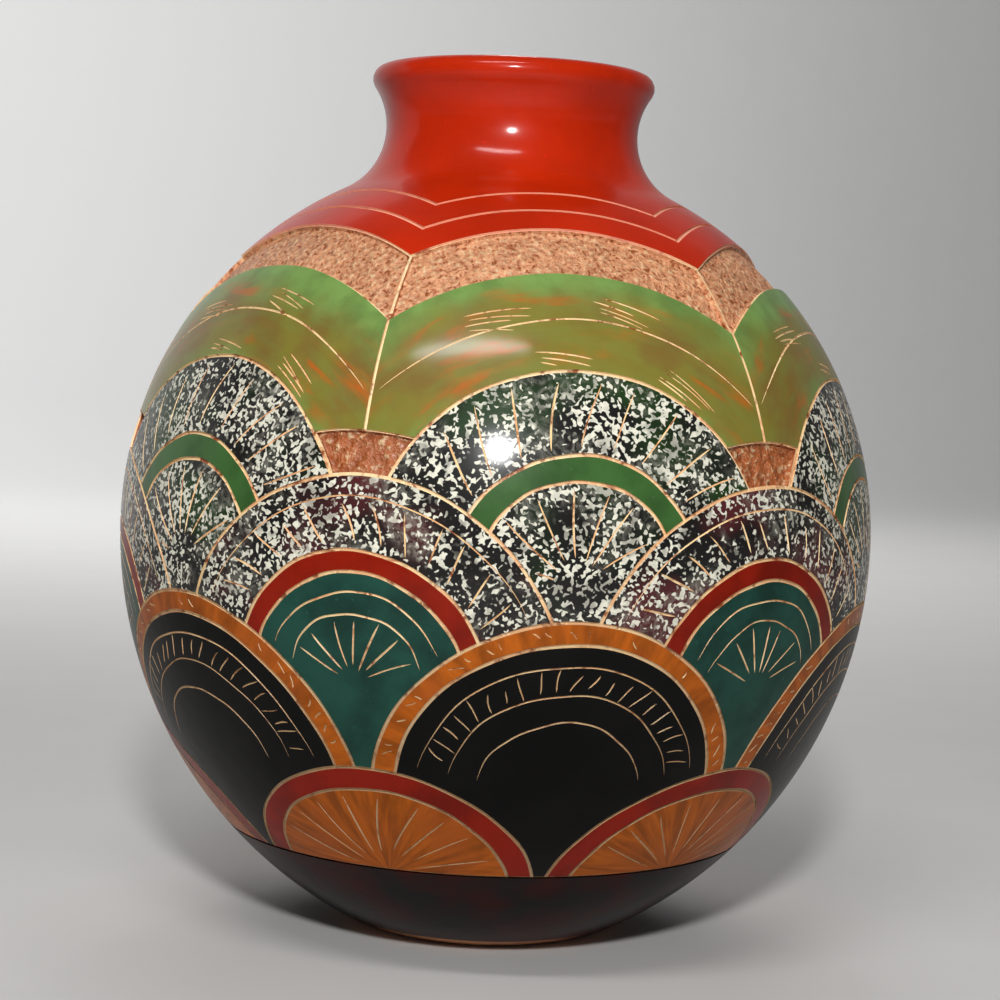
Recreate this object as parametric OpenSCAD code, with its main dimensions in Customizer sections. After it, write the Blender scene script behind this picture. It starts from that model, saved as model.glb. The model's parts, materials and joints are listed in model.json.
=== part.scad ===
// Round pottery vase: a thrown body in three luted clay sections, under coats of coloured
// slip that incised lines cut apart from each other. Lengths are in millimetres, +Z is up,
// and the origin is at the centre of the foot, on the table.

/* [Body] */
// Largest diameter of the finished belly
belly_d = 200; // [180:1:220]
// Height of the widest point above the table
belly_z = 105; // [100:0.5:110]
// Radius of the outline below the widest point
lower_arc_r = 117; // [113:0.5:122]
// Thickness of the finished wall, which the lip rounds over
wall = 7; // [5:0.25:9]
// Thickness of the clay floor
floor_t = 9; // [6:0.5:14]
// Width of the ring that the vase stands on
foot_ring_w = 12; // [8:0.5:18]
// Depth of the hollow inside that ring
foot_hollow = 1.5; // [0.5:0.25:3]

/* [Neck] */
// Outside diameter at the throat, the narrowest point
throat_d = 67; // [60:0.5:74]
// Radius of the hollow curve that runs from the shoulder through the throat to the lip
neck_arc_r = 18.5; // [14:0.5:24]
// Outside diameter of the rolled lip
lip_d = 75; // [69:0.5:80]

/* [Luted seams] */
// Height of the belly seam above the widest point
belly_seam_rise = 0; // [-6:0.5:6]
// Distance of the neck seam below the throat
neck_seam_drop = 6; // [4:0.5:9]
// Height of the tongue in each seam
tongue_h = 4; // [2:0.25:6]
// Thickness of the luting slip
lute = 0.4; // [0.2:0.1:0.8]

/* [Slip coats] */
// Thickness of a coat of slip
coat = 0.5; // [0.3:0.05:0.8]
// Clearance between a coat and the clay that it lies on
coat_seat = 0.05; // [0.02:0.01:0.1]
// Width of an incised line
line_w = 0.8; // [0.4:0.1:1.4]
// Depth of the carved ground below the coats
carve = 1; // [0.5:0.1:1.5]

/* [Shoulder scallops] */
// Number of scallops, and of fans in each tier
bays = 6; // [5:1:8]
// Height of the scallops' centres above the table
scallop_z = 95; // [90:0.5:100]
// Reach of a scallop from its centre on the belly to the red collar's edge
scallop_r = 95.5; // [92.5:0.5:98.5]
// Distance between the lines incised along that edge
scallop_pitch = 7.5; // [5:0.25:8.5]
// Number of red strips between those lines
scallop_strips = 2; // [1:1:2]
// Width of the carved arch under the scallops
carved_arch_w = 13.5; // [8:0.5:16]

/* [Fan tiers] */
// Height of the upper fans' centres above the table
fan_z = 101; // [98:0.5:104]
// Drop from one tier of fans to the next
fan_drop = 25; // [22:0.5:26]
// Width of the upper fans' sponged rim
upper_rim_w = 20; // [14:0.5:24]
// Width of the upper fans' green stripe
upper_stripe_w = 6; // [3:0.5:8]
// Width of the carved ground above the middle fans
carved_halo_w = 10; // [6:0.5:14]
// Width of the middle fans' sponged rim
middle_rim_w = 17; // [12:0.5:20]
// Width of the middle fans' dark red stripe
middle_stripe_w = 5; // [3:0.5:8]
// Width of the lower fans' amber rim
lower_rim_w = 5; // [3:0.5:9]
// Width of the bottom fans' dark red rim
bottom_rim_w = 6; // [3:0.5:9]
// Distance of the foot band's line above the bottom fans' centres
foot_line_rise = 1; // [0.5:0.5:6]
// Height of the foot band's lower edge, where the bare clay starts
foot_bare_z = 3; // [2:0.5:5]

/* [Hidden] */
$fn = 180;

// Depth that a coat reaches below the finished surface
coat_d = coat - coat_seat;

// Outline of the finished surface: four arcs that run into each other without a corner
belly_r = belly_d / 2;
belly_c = [0, belly_z];
lower_c = [belly_r - lower_arc_r, belly_z];
throat_r = throat_d / 2;
throat_rise = sqrt((belly_r + neck_arc_r) ^ 2 - (throat_r + neck_arc_r) ^ 2);
throat_z = belly_z + throat_rise;
neck_c = [throat_r + neck_arc_r, throat_z];
neck_a = atan2(throat_rise, neck_c.x);
lip_r = wall / 2;
lip_x = lip_d / 2 - lip_r;
lip_a = acos((lip_x - neck_c.x) / (neck_arc_r + lip_r));
foot_r = lower_c.x + sqrt((lower_arc_r - coat) ^ 2 - belly_z ^ 2);

// Seams: heights, and the radius of the step in the middle of the wall
belly_seam_z = belly_z + belly_seam_rise;
belly_step_r = outer_r(belly_seam_z) - wall / 2;
neck_seam_z = throat_z - neck_seam_drop;
neck_step_r = neck_c.x - sqrt((neck_arc_r + wall / 2) ^ 2 - neck_seam_drop ^ 2);

// Decoration: angles and radii that the bays share
bay_a = 360 / bays;
half_line_a = asin(line_w / 2 / belly_r);
ground_r = scallop_r - carved_arch_w;
collar_line_r = scallop_r + scallop_strips * scallop_pitch;
tiers = 4;
foot_line_z = tier_z(tiers - 1) + foot_line_rise;
reach = 3 * belly_r;

// Outside radius of the finished belly at a height below the neck
function outer_r(z) = z > belly_z
    ? sqrt(belly_r ^ 2 - (z - belly_z) ^ 2)
    : lower_c.x + sqrt(lower_arc_r ^ 2 - (belly_z - z) ^ 2);

// Centre height, radius and azimuth of the fans in a tier, counted from the top
function tier_z(tier) = fan_z - tier * fan_drop;
function tier_r(tier) = outer_r(tier_z(tier)) * sin(bay_a / 2);
function tier_azimuth(tier, bay) = (bay + (tier % 2) / 2) * bay_a;

// Moves to a point of the outline's plane, by whole millimetres and then by the rest
module at(point) {
    whole = [floor(point.x), floor(point.y)];
    translate(whole) translate(point - whole) children();
}

// Round layer about the origin
module ring(r_in, r_out) {
    difference() {
        circle(r = r_out);
        if (r_in > 0) circle(r = r_in);
    }
}

// Part of the outline's plane between two heights
module between(z_low, z_high) {
    translate([0, z_low]) square([reach, z_high - z_low]);
}

// Half of the outline's plane, on one side of a line through the neck arc's centre
module neck_half(direction, side) {
    at(neck_c)
        rotate(direction)
            translate([-reach, (side - 1) / 2 * reach]) square([2 * reach, reach]);
}

// Section of a layer of the belly, given by its depths below the finished surface
module belly_layer(deep, shallow) {
    intersection() {
        translate(lower_c) ring(lower_arc_r - deep, lower_arc_r - shallow);
        between(0, belly_z);
    }
    intersection() {
        translate(belly_c) ring(belly_r - deep, belly_r - shallow);
        between(belly_z, throat_z);
        neck_half(180 + neck_a, 1);
    }
}

// Section of a layer of the neck, from the belly to the lip
module neck_layer(deep, shallow) {
    intersection() {
        at(neck_c) ring(neck_arc_r + shallow, neck_arc_r + deep);
        neck_half(180 + neck_a, -1);
        neck_half(lip_a, 1);
    }
}

// Half-round section of a layer that runs over the lip
module lip_layer(deep, shallow) {
    intersection() {
        at(neck_c) rotate(lip_a) translate([neck_arc_r + lip_r, 0]) ring(lip_r - deep, lip_r - shallow);
        neck_half(lip_a, -1);
    }
}

// Section of a layer of the belly and the neck
module layer(deep, shallow) {
    belly_layer(deep, shallow);
    neck_layer(deep, shallow);
}

// Everything below a stepped seam, with the tongue on the inside of the wall
module below_seam(z, step_r) {
    square([reach, z]);
    square([step_r, z + tongue_h]);
}

// Clay wall of the two bowls, with the floor
module bowl_section() {
    layer(wall, coat);
    intersection() {
        translate(lower_c) circle(r = lower_arc_r - coat);
        between(0, floor_t);
    }
}

// Ball about a point of the belly, whose surface meets a coat along a round line
module ball(azimuth, z, r) {
    rotate([0, 0, azimuth])
        translate([0, -outer_r(z), z]) sphere(r = r);
}

// Children less the balls in a list of [azimuth, height, radius], cut one after the other
module less_balls(balls, count) {
    if (count == 0)
        children();
    else
        difference() {
            less_balls(balls, count - 1) children();
            ball(balls[count - 1][0], balls[count - 1][1], balls[count - 1][2]);
        }
}

// Sector of a layer inside one ball and outside others
module patch(azimuth, half_angle, deep, shallow, z_low, z, r, holes) {
    less_balls(holes, len(holes))
        intersection() {
            bay_layer(azimuth, half_angle, deep, shallow, z_low, throat_z);
            ball(azimuth, z, r);
        }
}

// Sector of a layer, centred on an azimuth
module bay_layer(azimuth, half_angle, deep, shallow, z_low, z_high) {
    rotate([0, 0, azimuth - 90 - half_angle])
        rotate_extrude(angle = 2 * half_angle)
            intersection() {
                layer(deep, shallow);
                between(z_low, z_high);
            }
}

// Clay

module lower_bowl() {
    color("#a5674a")
        rotate_extrude()
            difference() {
                intersection() {
                    bowl_section();
                    below_seam(belly_seam_z, belly_step_r);
                }
                square([foot_r - foot_ring_w, foot_hollow]);
            }
}

module belly_luting() {
    color("#8c5238")
        rotate_extrude()
            difference() {
                intersection() {
                    bowl_section();
                    below_seam(belly_seam_z + lute, belly_step_r + lute);
                }
                below_seam(belly_seam_z, belly_step_r);
            }
}

module upper_bowl() {
    color("#b5714f")
        difference() {
            rotate_extrude()
                intersection() {
                    difference() {
                        layer(wall, coat);
                        below_seam(belly_seam_z + lute, belly_step_r + lute);
                    }
                    below_seam(neck_seam_z, neck_step_r);
                }
            for (bay = [0 : bays - 1]) {
                carved_arch(bay);
                carved_halo(bay);
            }
        }
}

module neck_luting() {
    color("#8c5238")
        rotate_extrude()
            difference() {
                intersection() {
                    layer(wall, coat);
                    below_seam(neck_seam_z + lute, neck_step_r + lute);
                }
                below_seam(neck_seam_z, neck_step_r);
            }
}

module neck_collar() {
    color("#a5674a")
        rotate_extrude()
            difference() {
                union() {
                    neck_layer(wall - coat, coat);
                    lip_layer(lip_r, coat);
                }
                below_seam(neck_seam_z + lute, neck_step_r + lute);
            }
}

// Carved ground under a scallop of the collar
module carved_arch(bay) {
    azimuth = bay * bay_a;
    patch(
        azimuth, bay_a / 2 - half_line_a, coat + carve, -1, fan_z, scallop_z, scallop_r - line_w / 2,
        [[azimuth, scallop_z, ground_r + line_w / 2]]
    );
}

// Carved ground above a middle fan, between two upper fans
module carved_halo(bay) {
    azimuth = tier_azimuth(1, bay);
    patch(
        azimuth, bay_a / 2, coat + carve, -1, fan_z, tier_z(1), tier_r(1) + carved_halo_w - line_w / 2,
        [
            [azimuth, tier_z(1), tier_r(1) + line_w / 2],
            [azimuth - bay_a / 2, fan_z, tier_r(0) + line_w / 2],
            [azimuth + bay_a / 2, fan_z, tier_r(0) + line_w / 2]
        ]
    );
}

// Slip on the neck and shoulder

module red_collar_slip() {
    scallops = [for (bay = [0 : bays - 1]) [bay * bay_a, scallop_z, collar_line_r + line_w / 2]];
    color("#b3260b")
        less_balls(scallops, bays)
            rotate_extrude() {
                intersection() {
                    layer(coat_d, 0);
                    between(belly_z + scallop_r / 2, 2 * throat_z);
                }
                lip_layer(coat_d, 0);
                difference() {
                    neck_layer(wall, wall - coat_d);
                    below_seam(neck_seam_z + lute, neck_step_r + lute);
                }
            }
}

// Layer of the shoulder above a scalloped line
module scalloped_layer(deep, shallow, z_high, r) {
    less_balls([for (bay = [0 : bays - 1]) [bay * bay_a, scallop_z, r]], bays)
        rotate_extrude()
            intersection() {
                layer(deep, shallow);
                between(belly_z + scallop_r / 2, z_high);
            }
}

module red_scallop_strips() {
    color("#b3260b")
        for (strip = [0 : scallop_strips - 1]) {
            inner_r = scallop_r + strip * scallop_pitch;
            difference() {
                scalloped_layer(coat_d, 0, throat_z, inner_r + line_w / 2);
                scalloped_layer(2 * coat, -1, 2 * throat_z, inner_r + scallop_pitch - line_w / 2);
            }
        }
}

module green_ground_slip() {
    halo_r = tier_r(1) + carved_halo_w + line_w / 2;
    color("#4f7a35")
        for (bay = [0 : bays - 1]) {
            azimuth = bay * bay_a;
            patch(
                azimuth, bay_a / 2 - half_line_a, coat_d, 0, fan_z, scallop_z, ground_r - line_w / 2,
                [
                    [azimuth, fan_z, tier_r(0) + line_w / 2],
                    [azimuth - bay_a / 2, tier_z(1), halo_r],
                    [azimuth + bay_a / 2, tier_z(1), halo_r]
                ]
            );
        }
}

// Slip on the fans

// Round band of each fan in a tier, less what the tiers below it cover
module fan_bands(tier, r_out, r_in) {
    for (bay = [0 : bays - 1]) {
        azimuth = tier_azimuth(tier, bay);
        next_r = tier_r(tier + 1) + line_w / 2;
        patch(
            azimuth, bay_a / 2 + half_line_a, coat_d, 0, foot_line_z + line_w / 2,
            tier_z(tier), r_out - line_w / 2,
            [
                if (r_in > 0) [azimuth, tier_z(tier), r_in + line_w / 2],
                if (tier + 1 < tiers) [azimuth - bay_a / 2, tier_z(tier + 1), next_r],
                if (tier + 1 < tiers) [azimuth + bay_a / 2, tier_z(tier + 1), next_r],
                if (tier + 2 < tiers) [azimuth, tier_z(tier + 2), tier_r(tier + 2) + line_w / 2]
            ]
        );
    }
}

module upper_fan_rims() {
    color("#3a3a36") fan_bands(0, tier_r(0), tier_r(0) - upper_rim_w);
}

module upper_fan_stripes() {
    r = tier_r(0) - upper_rim_w;
    color("#3f6b2f") fan_bands(0, r, r - upper_stripe_w);
}

module upper_fan_hearts() {
    color("#3a3a36") fan_bands(0, tier_r(0) - upper_rim_w - upper_stripe_w, 0);
}

module middle_fan_rims() {
    color("#45302e") fan_bands(1, tier_r(1), tier_r(1) - middle_rim_w);
}

module middle_fan_stripes() {
    r = tier_r(1) - middle_rim_w;
    color("#8c1a08") fan_bands(1, r, r - middle_stripe_w);
}

module middle_fan_hearts() {
    color("#1d4a3c") fan_bands(1, tier_r(1) - middle_rim_w - middle_stripe_w, 0);
}

module lower_fan_rims() {
    color("#c46a12") fan_bands(2, tier_r(2), tier_r(2) - lower_rim_w);
}

module lower_fan_fields() {
    color("#0d0b0a") fan_bands(2, tier_r(2) - lower_rim_w, 0);
}

module bottom_fan_rims() {
    color("#8c1a08") fan_bands(3, tier_r(3), tier_r(3) - bottom_rim_w);
}

module bottom_fan_fields() {
    color("#c46a12") fan_bands(3, tier_r(3) - bottom_rim_w, 0);
}

module foot_band_slip() {
    color("#1a100c")
        rotate_extrude()
            intersection() {
                layer(coat_d, 0);
                between(foot_bare_z, foot_line_z - line_w / 2);
            }
}

lower_bowl();
belly_luting();
upper_bowl();
neck_luting();
neck_collar();
red_collar_slip();
red_scallop_strips();
green_ground_slip();
upper_fan_rims();
upper_fan_stripes();
upper_fan_hearts();
middle_fan_rims();
middle_fan_stripes();
middle_fan_hearts();
lower_fan_rims();
lower_fan_fields();
bottom_fan_rims();
bottom_fan_fields();
foot_band_slip();
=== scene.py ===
"""Round pottery vase: thrown clay under burnished coats of slip, with incised lines and carved ground."""

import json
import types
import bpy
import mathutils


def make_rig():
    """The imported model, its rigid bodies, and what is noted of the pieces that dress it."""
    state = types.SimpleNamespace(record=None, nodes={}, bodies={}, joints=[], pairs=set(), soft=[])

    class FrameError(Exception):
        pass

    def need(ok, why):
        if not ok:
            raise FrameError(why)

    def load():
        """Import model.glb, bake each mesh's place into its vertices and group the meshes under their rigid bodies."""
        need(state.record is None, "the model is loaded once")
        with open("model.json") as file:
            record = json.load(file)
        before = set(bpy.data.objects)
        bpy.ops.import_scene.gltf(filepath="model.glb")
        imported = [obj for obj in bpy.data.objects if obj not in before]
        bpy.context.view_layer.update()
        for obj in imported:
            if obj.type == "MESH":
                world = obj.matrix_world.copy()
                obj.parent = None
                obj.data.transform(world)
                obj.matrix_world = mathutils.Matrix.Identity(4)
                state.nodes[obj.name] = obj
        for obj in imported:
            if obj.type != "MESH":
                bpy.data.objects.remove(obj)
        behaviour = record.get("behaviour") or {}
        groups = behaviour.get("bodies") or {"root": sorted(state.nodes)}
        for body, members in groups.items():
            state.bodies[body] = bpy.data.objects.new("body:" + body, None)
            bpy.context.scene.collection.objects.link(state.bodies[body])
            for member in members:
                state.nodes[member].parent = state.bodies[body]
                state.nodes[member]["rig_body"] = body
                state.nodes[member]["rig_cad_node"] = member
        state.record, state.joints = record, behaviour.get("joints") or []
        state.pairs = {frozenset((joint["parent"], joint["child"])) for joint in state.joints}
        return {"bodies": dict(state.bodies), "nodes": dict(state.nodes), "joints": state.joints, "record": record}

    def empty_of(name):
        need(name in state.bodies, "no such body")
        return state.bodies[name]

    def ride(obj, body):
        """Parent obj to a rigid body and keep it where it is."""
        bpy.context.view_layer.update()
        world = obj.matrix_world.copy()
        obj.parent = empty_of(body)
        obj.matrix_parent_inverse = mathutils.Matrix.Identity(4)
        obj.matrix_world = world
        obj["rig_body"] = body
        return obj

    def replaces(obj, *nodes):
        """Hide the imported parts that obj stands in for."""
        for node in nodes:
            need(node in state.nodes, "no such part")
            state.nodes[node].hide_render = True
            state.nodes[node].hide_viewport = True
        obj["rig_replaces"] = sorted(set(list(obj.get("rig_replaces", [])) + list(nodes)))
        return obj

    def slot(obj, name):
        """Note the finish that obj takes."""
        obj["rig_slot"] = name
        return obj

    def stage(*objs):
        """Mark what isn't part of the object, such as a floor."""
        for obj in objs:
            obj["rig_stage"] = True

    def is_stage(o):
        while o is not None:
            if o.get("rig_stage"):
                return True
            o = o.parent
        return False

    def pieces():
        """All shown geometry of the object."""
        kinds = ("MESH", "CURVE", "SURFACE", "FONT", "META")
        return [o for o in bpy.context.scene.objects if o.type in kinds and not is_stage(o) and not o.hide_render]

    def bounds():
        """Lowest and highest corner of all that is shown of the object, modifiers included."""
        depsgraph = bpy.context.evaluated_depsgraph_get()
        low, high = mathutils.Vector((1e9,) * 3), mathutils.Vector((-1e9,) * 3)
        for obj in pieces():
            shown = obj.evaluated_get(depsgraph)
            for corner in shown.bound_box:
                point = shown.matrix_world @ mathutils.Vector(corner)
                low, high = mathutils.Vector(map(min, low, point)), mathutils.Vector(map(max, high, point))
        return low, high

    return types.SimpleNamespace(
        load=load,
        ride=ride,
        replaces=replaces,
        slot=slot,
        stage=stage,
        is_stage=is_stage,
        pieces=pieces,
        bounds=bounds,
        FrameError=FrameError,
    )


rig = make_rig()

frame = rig.load()

import json
import math

import bmesh
import bpy
import numpy as np
from bpy.props import FloatProperty, FloatVectorProperty, IntProperty, PointerProperty
from bpy.types import Operator, Panel, PropertyGroup
from mathutils import Euler, Matrix, Vector
from mathutils.geometry import delaunay_2d_cdt

bl_info = {
    "name": "Slip-decorated vase",
    "version": (1, 0, 0),
    "blender": (4, 5, 0),
    "location": "View3D > Sidebar > Vase",
    "description": "Builds a round pottery vase with incised coats of coloured slip",
    "category": "Add Mesh",
}

CAD_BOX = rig.bounds()
MM = 0.001
TURN = 2 * math.pi
MERGE = 2e-6  # Corners nearer than this become one, in metres
HARD_EDGE = math.radians(32)  # An edge that turns more than this stays hard
COAT_MESH = 1.5  # Distance between the corners of a coat, in millimetres
WALL_MESH = 4.0  # The same for the clay around the carved grounds
ARCH_MESH, HALO_MESH = 0.6, 0.7  # The same for the carved grounds
CARVED_EDGE = 0.6  # The same along the edges of the carved grounds
SIDES = 288  # Sides of a wall thrown on the wheel
STROKE_GAP = 0.9  # Distance of a stroke from the edge of its coat, in millimetres


def length(name, description, default):
    """Length that a user may change, in metres."""
    return FloatProperty(
        name=name, description=description, default=default, min=0.0, unit="LENGTH", precision=5
    )


def colour(name, description, default):
    """Linear colour that a user may change."""
    return FloatVectorProperty(
        name=name, description=description, default=default, size=3, min=0.0, max=1.0, subtype="COLOR"
    )


class VaseBody(PropertyGroup):
    """Sizes of the clay and of its coats."""

    belly_d: length("Belly diameter", "Largest diameter of the finished belly", 0.2)
    belly_z: length("Belly height", "Height of the widest point above the table", 0.105)
    lower_arc_r: length("Lower arc", "Radius of the outline below the widest point", 0.117)
    wall: length("Wall", "Thickness of the finished wall", 0.007)
    floor_t: length("Floor", "Thickness of the clay floor", 0.009)
    foot_ring_w: length("Foot ring", "Width of the ring that the vase stands on", 0.012)
    foot_hollow: length("Foot hollow", "Depth of the hollow inside the foot ring", 0.0015)
    throat_d: length("Throat diameter", "Outside diameter at the throat", 0.067)
    neck_arc_r: length("Neck curve", "Radius of the curve from the shoulder to the lip", 0.0185)
    lip_d: length("Lip diameter", "Outside diameter of the rolled lip", 0.075)
    seam_drop: length("Neck seam", "Distance of the neck seam below the throat", 0.006)
    tongue_h: length("Seam tongue", "Height of the tongue in each seam", 0.004)
    lute: length("Luting", "Thickness of the luting in each seam", 0.0004)
    coat: length("Coat", "Depth of the clay below the finished surface", 0.0005)
    coat_seat: length("Coat clearance", "Clearance between a coat and the clay", 0.00005)
    carve: length("Carving", "Depth of the carved ground below the clay's surface", 0.001)
    ring_pitch: length("Throwing ring pitch", "Distance between the finger rings inside", 0.006)
    ring_depth: length("Throwing ring depth", "Depth of the finger rings inside", 0.00035)


class VasePattern(PropertyGroup):
    """Layout of the coats and the tool marks on them."""

    bays: IntProperty(
        name="Bays", description="Number of scallops, and of fans in each tier", default=6, min=3
    )
    seed: IntProperty(name="Seed", description="Seed of the hand's unevenness", default=7)
    line_w: length("Line width", "Width of the lines between the coats", 0.0008)
    ledge_w: length("Ledge", "Width of the clay left between a coat and the carved ground", 0.0003)
    stroke_w: length("Stroke width", "Width of a stroke incised in a coat", 0.00058)
    stroke_d: length("Stroke depth", "Depth of a stroke incised in a coat", 0.0003)
    fine_bite: length("Fine bite", "Distance between the tool's bites in the carved arches", 0.0016)
    coarse_bite: length("Coarse bite", "Distance between the tool's bites in the carved halos", 0.0026)
    bite_d: length("Bite depth", "Depth of the tool's bites in the halos", 0.0006)
    scallop_z: length("Scallop height", "Height of the scallops' centres above the table", 0.095)
    scallop_r: length("Scallop reach", "Reach of a scallop from its centre to the red edge", 0.0955)
    scallop_pitch: length("Scallop lines", "Distance between the lines along the red edge", 0.0075)
    arch_w: length("Carved arch", "Width of the carved arch under a scallop", 0.0135)
    fan_z: length("Fan height", "Height of the upper fans' centres above the table", 0.101)
    fan_drop: length("Fan drop", "Drop from one tier of fans to the next", 0.025)
    halo_w: length("Carved halo", "Width of the carved ground above the middle fans", 0.01)
    upper_rim_w: length("Upper rim", "Width of the upper fans' sponged rim", 0.02)
    upper_stripe_w: length("Upper stripe", "Width of the upper fans' green stripe", 0.006)
    middle_rim_w: length("Middle rim", "Width of the middle fans' sponged rim", 0.017)
    middle_stripe_w: length("Middle stripe", "Width of the middle fans' dark red stripe", 0.005)
    lower_rim_w: length("Lower rim", "Width of the lower fans' amber rim", 0.005)
    bottom_rim_w: length("Bottom rim", "Width of the bottom fans' dark red rim", 0.006)
    foot_line_rise: length(
        "Foot line", "Height of the foot band's line above the bottom fans' centres", 0.001
    )
    foot_bare_z: length("Foot band edge", "Height at which the bare clay starts", 0.003)


class VaseColours(PropertyGroup):
    """Colours of the slips and the clay."""

    red: colour("Red slip", "Burnished red of the collar", (0.48, 0.019, 0.0015))
    dark_red: colour("Dark red slip", "Dark red of the stripes", (0.24, 0.010, 0.002))
    green: colour("Green slip", "Green at the edges of the ground", (0.175, 0.305, 0.076))
    olive: colour("Olive slip", "Olive in the middle of the ground", (0.20, 0.145, 0.02))
    rust: colour("Rust slip", "Rust that the brush leaves in the green", (0.46, 0.10, 0.012))
    deep_green: colour("Deep green slip", "Green of the fans' stripes", (0.045, 0.12, 0.03))
    teal: colour("Teal slip", "Dark teal of the middle fans", (0.012, 0.062, 0.045))
    black: colour("Black slip", "Black of the lower fans", (0.0036, 0.0034, 0.0032))
    cream: colour("Cream slip", "Cream that the sponge leaves", (0.74, 0.72, 0.60))
    maroon: colour("Maroon slip", "Maroon under the middle fans' sponging", (0.075, 0.016, 0.018))
    amber: colour("Amber slip", "Brushed amber of the fans near the foot", (0.46, 0.105, 0.006))
    clay: colour("Fired clay", "Bare clay of the carved arches", (0.76, 0.34, 0.165))
    waxed_clay: colour("Waxed clay", "Darker clay of the carved halos", (0.44, 0.125, 0.036))
    cut_clay: colour("Cut clay", "Pale clay in the incised lines", (0.86, 0.65, 0.37))


# Shape of the finished surface


def pairs(a, b):
    """Two values for each point, side by side."""
    return np.stack(np.broadcast_arrays(a, b), axis=-1)


class Outline:
    """Finished surface, in millimetres along its outline from the foot over the lip into the neck."""

    def __init__(self, body):
        mm = {k: getattr(body, k) / MM for k in VaseBody.__annotations__}
        self.mm = mm
        self.belly_r, self.belly_z = mm["belly_d"] / 2, mm["belly_z"]
        self.lower_r = mm["lower_arc_r"]
        self.lower_x = self.belly_r - self.lower_r
        self.wall, self.coat = mm["wall"], mm["coat"]
        self.coat_d = mm["coat"] - mm["coat_seat"]
        rho, throat_r = mm["neck_arc_r"], mm["throat_d"] / 2
        rise = math.sqrt((self.belly_r + rho) ** 2 - (throat_r + rho) ** 2)
        self.throat_z = self.belly_z + rise
        self.neck_c = (throat_r + rho, self.throat_z)
        self.neck_r = rho
        neck_a = math.atan2(rise, self.neck_c[0])
        lip_r = mm["wall"] / 2
        lip_a = math.acos((mm["lip_d"] / 2 - lip_r - self.neck_c[0]) / (rho + lip_r))
        lip_c = tuple(c + (rho + lip_r) * f(lip_a) for c, f in zip(self.neck_c, (math.cos, math.sin)))
        self.seam_z = self.throat_z - mm["seam_drop"]
        drop = mm["seam_drop"] - mm["lute"] - mm["tongue_h"]
        seam_in = math.pi + math.asin(drop / (rho + mm["wall"]))
        foot_a = -math.asin(self.belly_z / self.lower_r)
        # Centre, radius, first and last angle, and the side that the normal is on
        self.arcs = [
            ((self.lower_x, self.belly_z), self.lower_r, foot_a, 0.0, 1),
            ((0.0, self.belly_z), self.belly_r, 0.0, neck_a, 1),
            (self.neck_c, rho, math.pi + neck_a, lip_a, -1),
            (lip_c, lip_r, lip_a - math.pi, lip_a, 1),
            (self.neck_c, rho + mm["wall"], lip_a, seam_in, 1),
        ]
        self.ends = np.cumsum([0.0] + [r * abs(b - a) for _, r, a, b, _ in self.arcs])

    def along(self, s):
        """Radius, height and outward normal at each distance along the outline."""
        s = np.asarray(s, float)
        which = np.clip(np.searchsorted(self.ends, s, side="right") - 1, 0, len(self.arcs) - 1)
        out = np.empty((4,) + s.shape)
        for i in np.unique(which):
            (cx, cz), r, a0, a1, side = self.arcs[i]
            m = which == i
            a = a0 + np.sign(a1 - a0) * (s[m] - self.ends[i]) / r
            out[0][m], out[1][m] = cx + r * np.cos(a), cz + r * np.sin(a)
            out[2][m], out[3][m] = side * np.cos(a), side * np.sin(a)
        return out

    def at_height(self, z):
        """Distance along the outline at a height of the belly."""
        (_, _), r, a0, _, _ = self.arcs[0]
        if z < self.belly_z:
            return r * (math.asin((z - self.belly_z) / r) - a0)
        return self.ends[1] + self.belly_r * math.asin((z - self.belly_z) / self.belly_r)

    def neck_at(self, z):
        """Distance along the outline at a height of the neck's outside, below the throat."""
        (_, cz), r, a0, _, _ = self.arcs[2]
        return self.ends[2] + r * (a0 - math.pi - math.asin((cz - z) / r))

    def belly_radius(self, z):
        """Outside radius of the belly at a height."""
        if z > self.belly_z:
            return math.sqrt(self.belly_r ** 2 - (z - self.belly_z) ** 2)
        return self.lower_x + math.sqrt(self.lower_r ** 2 - (self.belly_z - z) ** 2)

    def place(self, phi, s, depth):
        """Points in metres, at azimuths from the front, distances along the outline and a depth."""
        r, z, nr, nz = self.along(s)
        r, z = r - nr * depth, z - nz * depth
        return np.stack([r * np.sin(phi), -r * np.cos(phi), z], axis=-1) * MM


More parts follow.
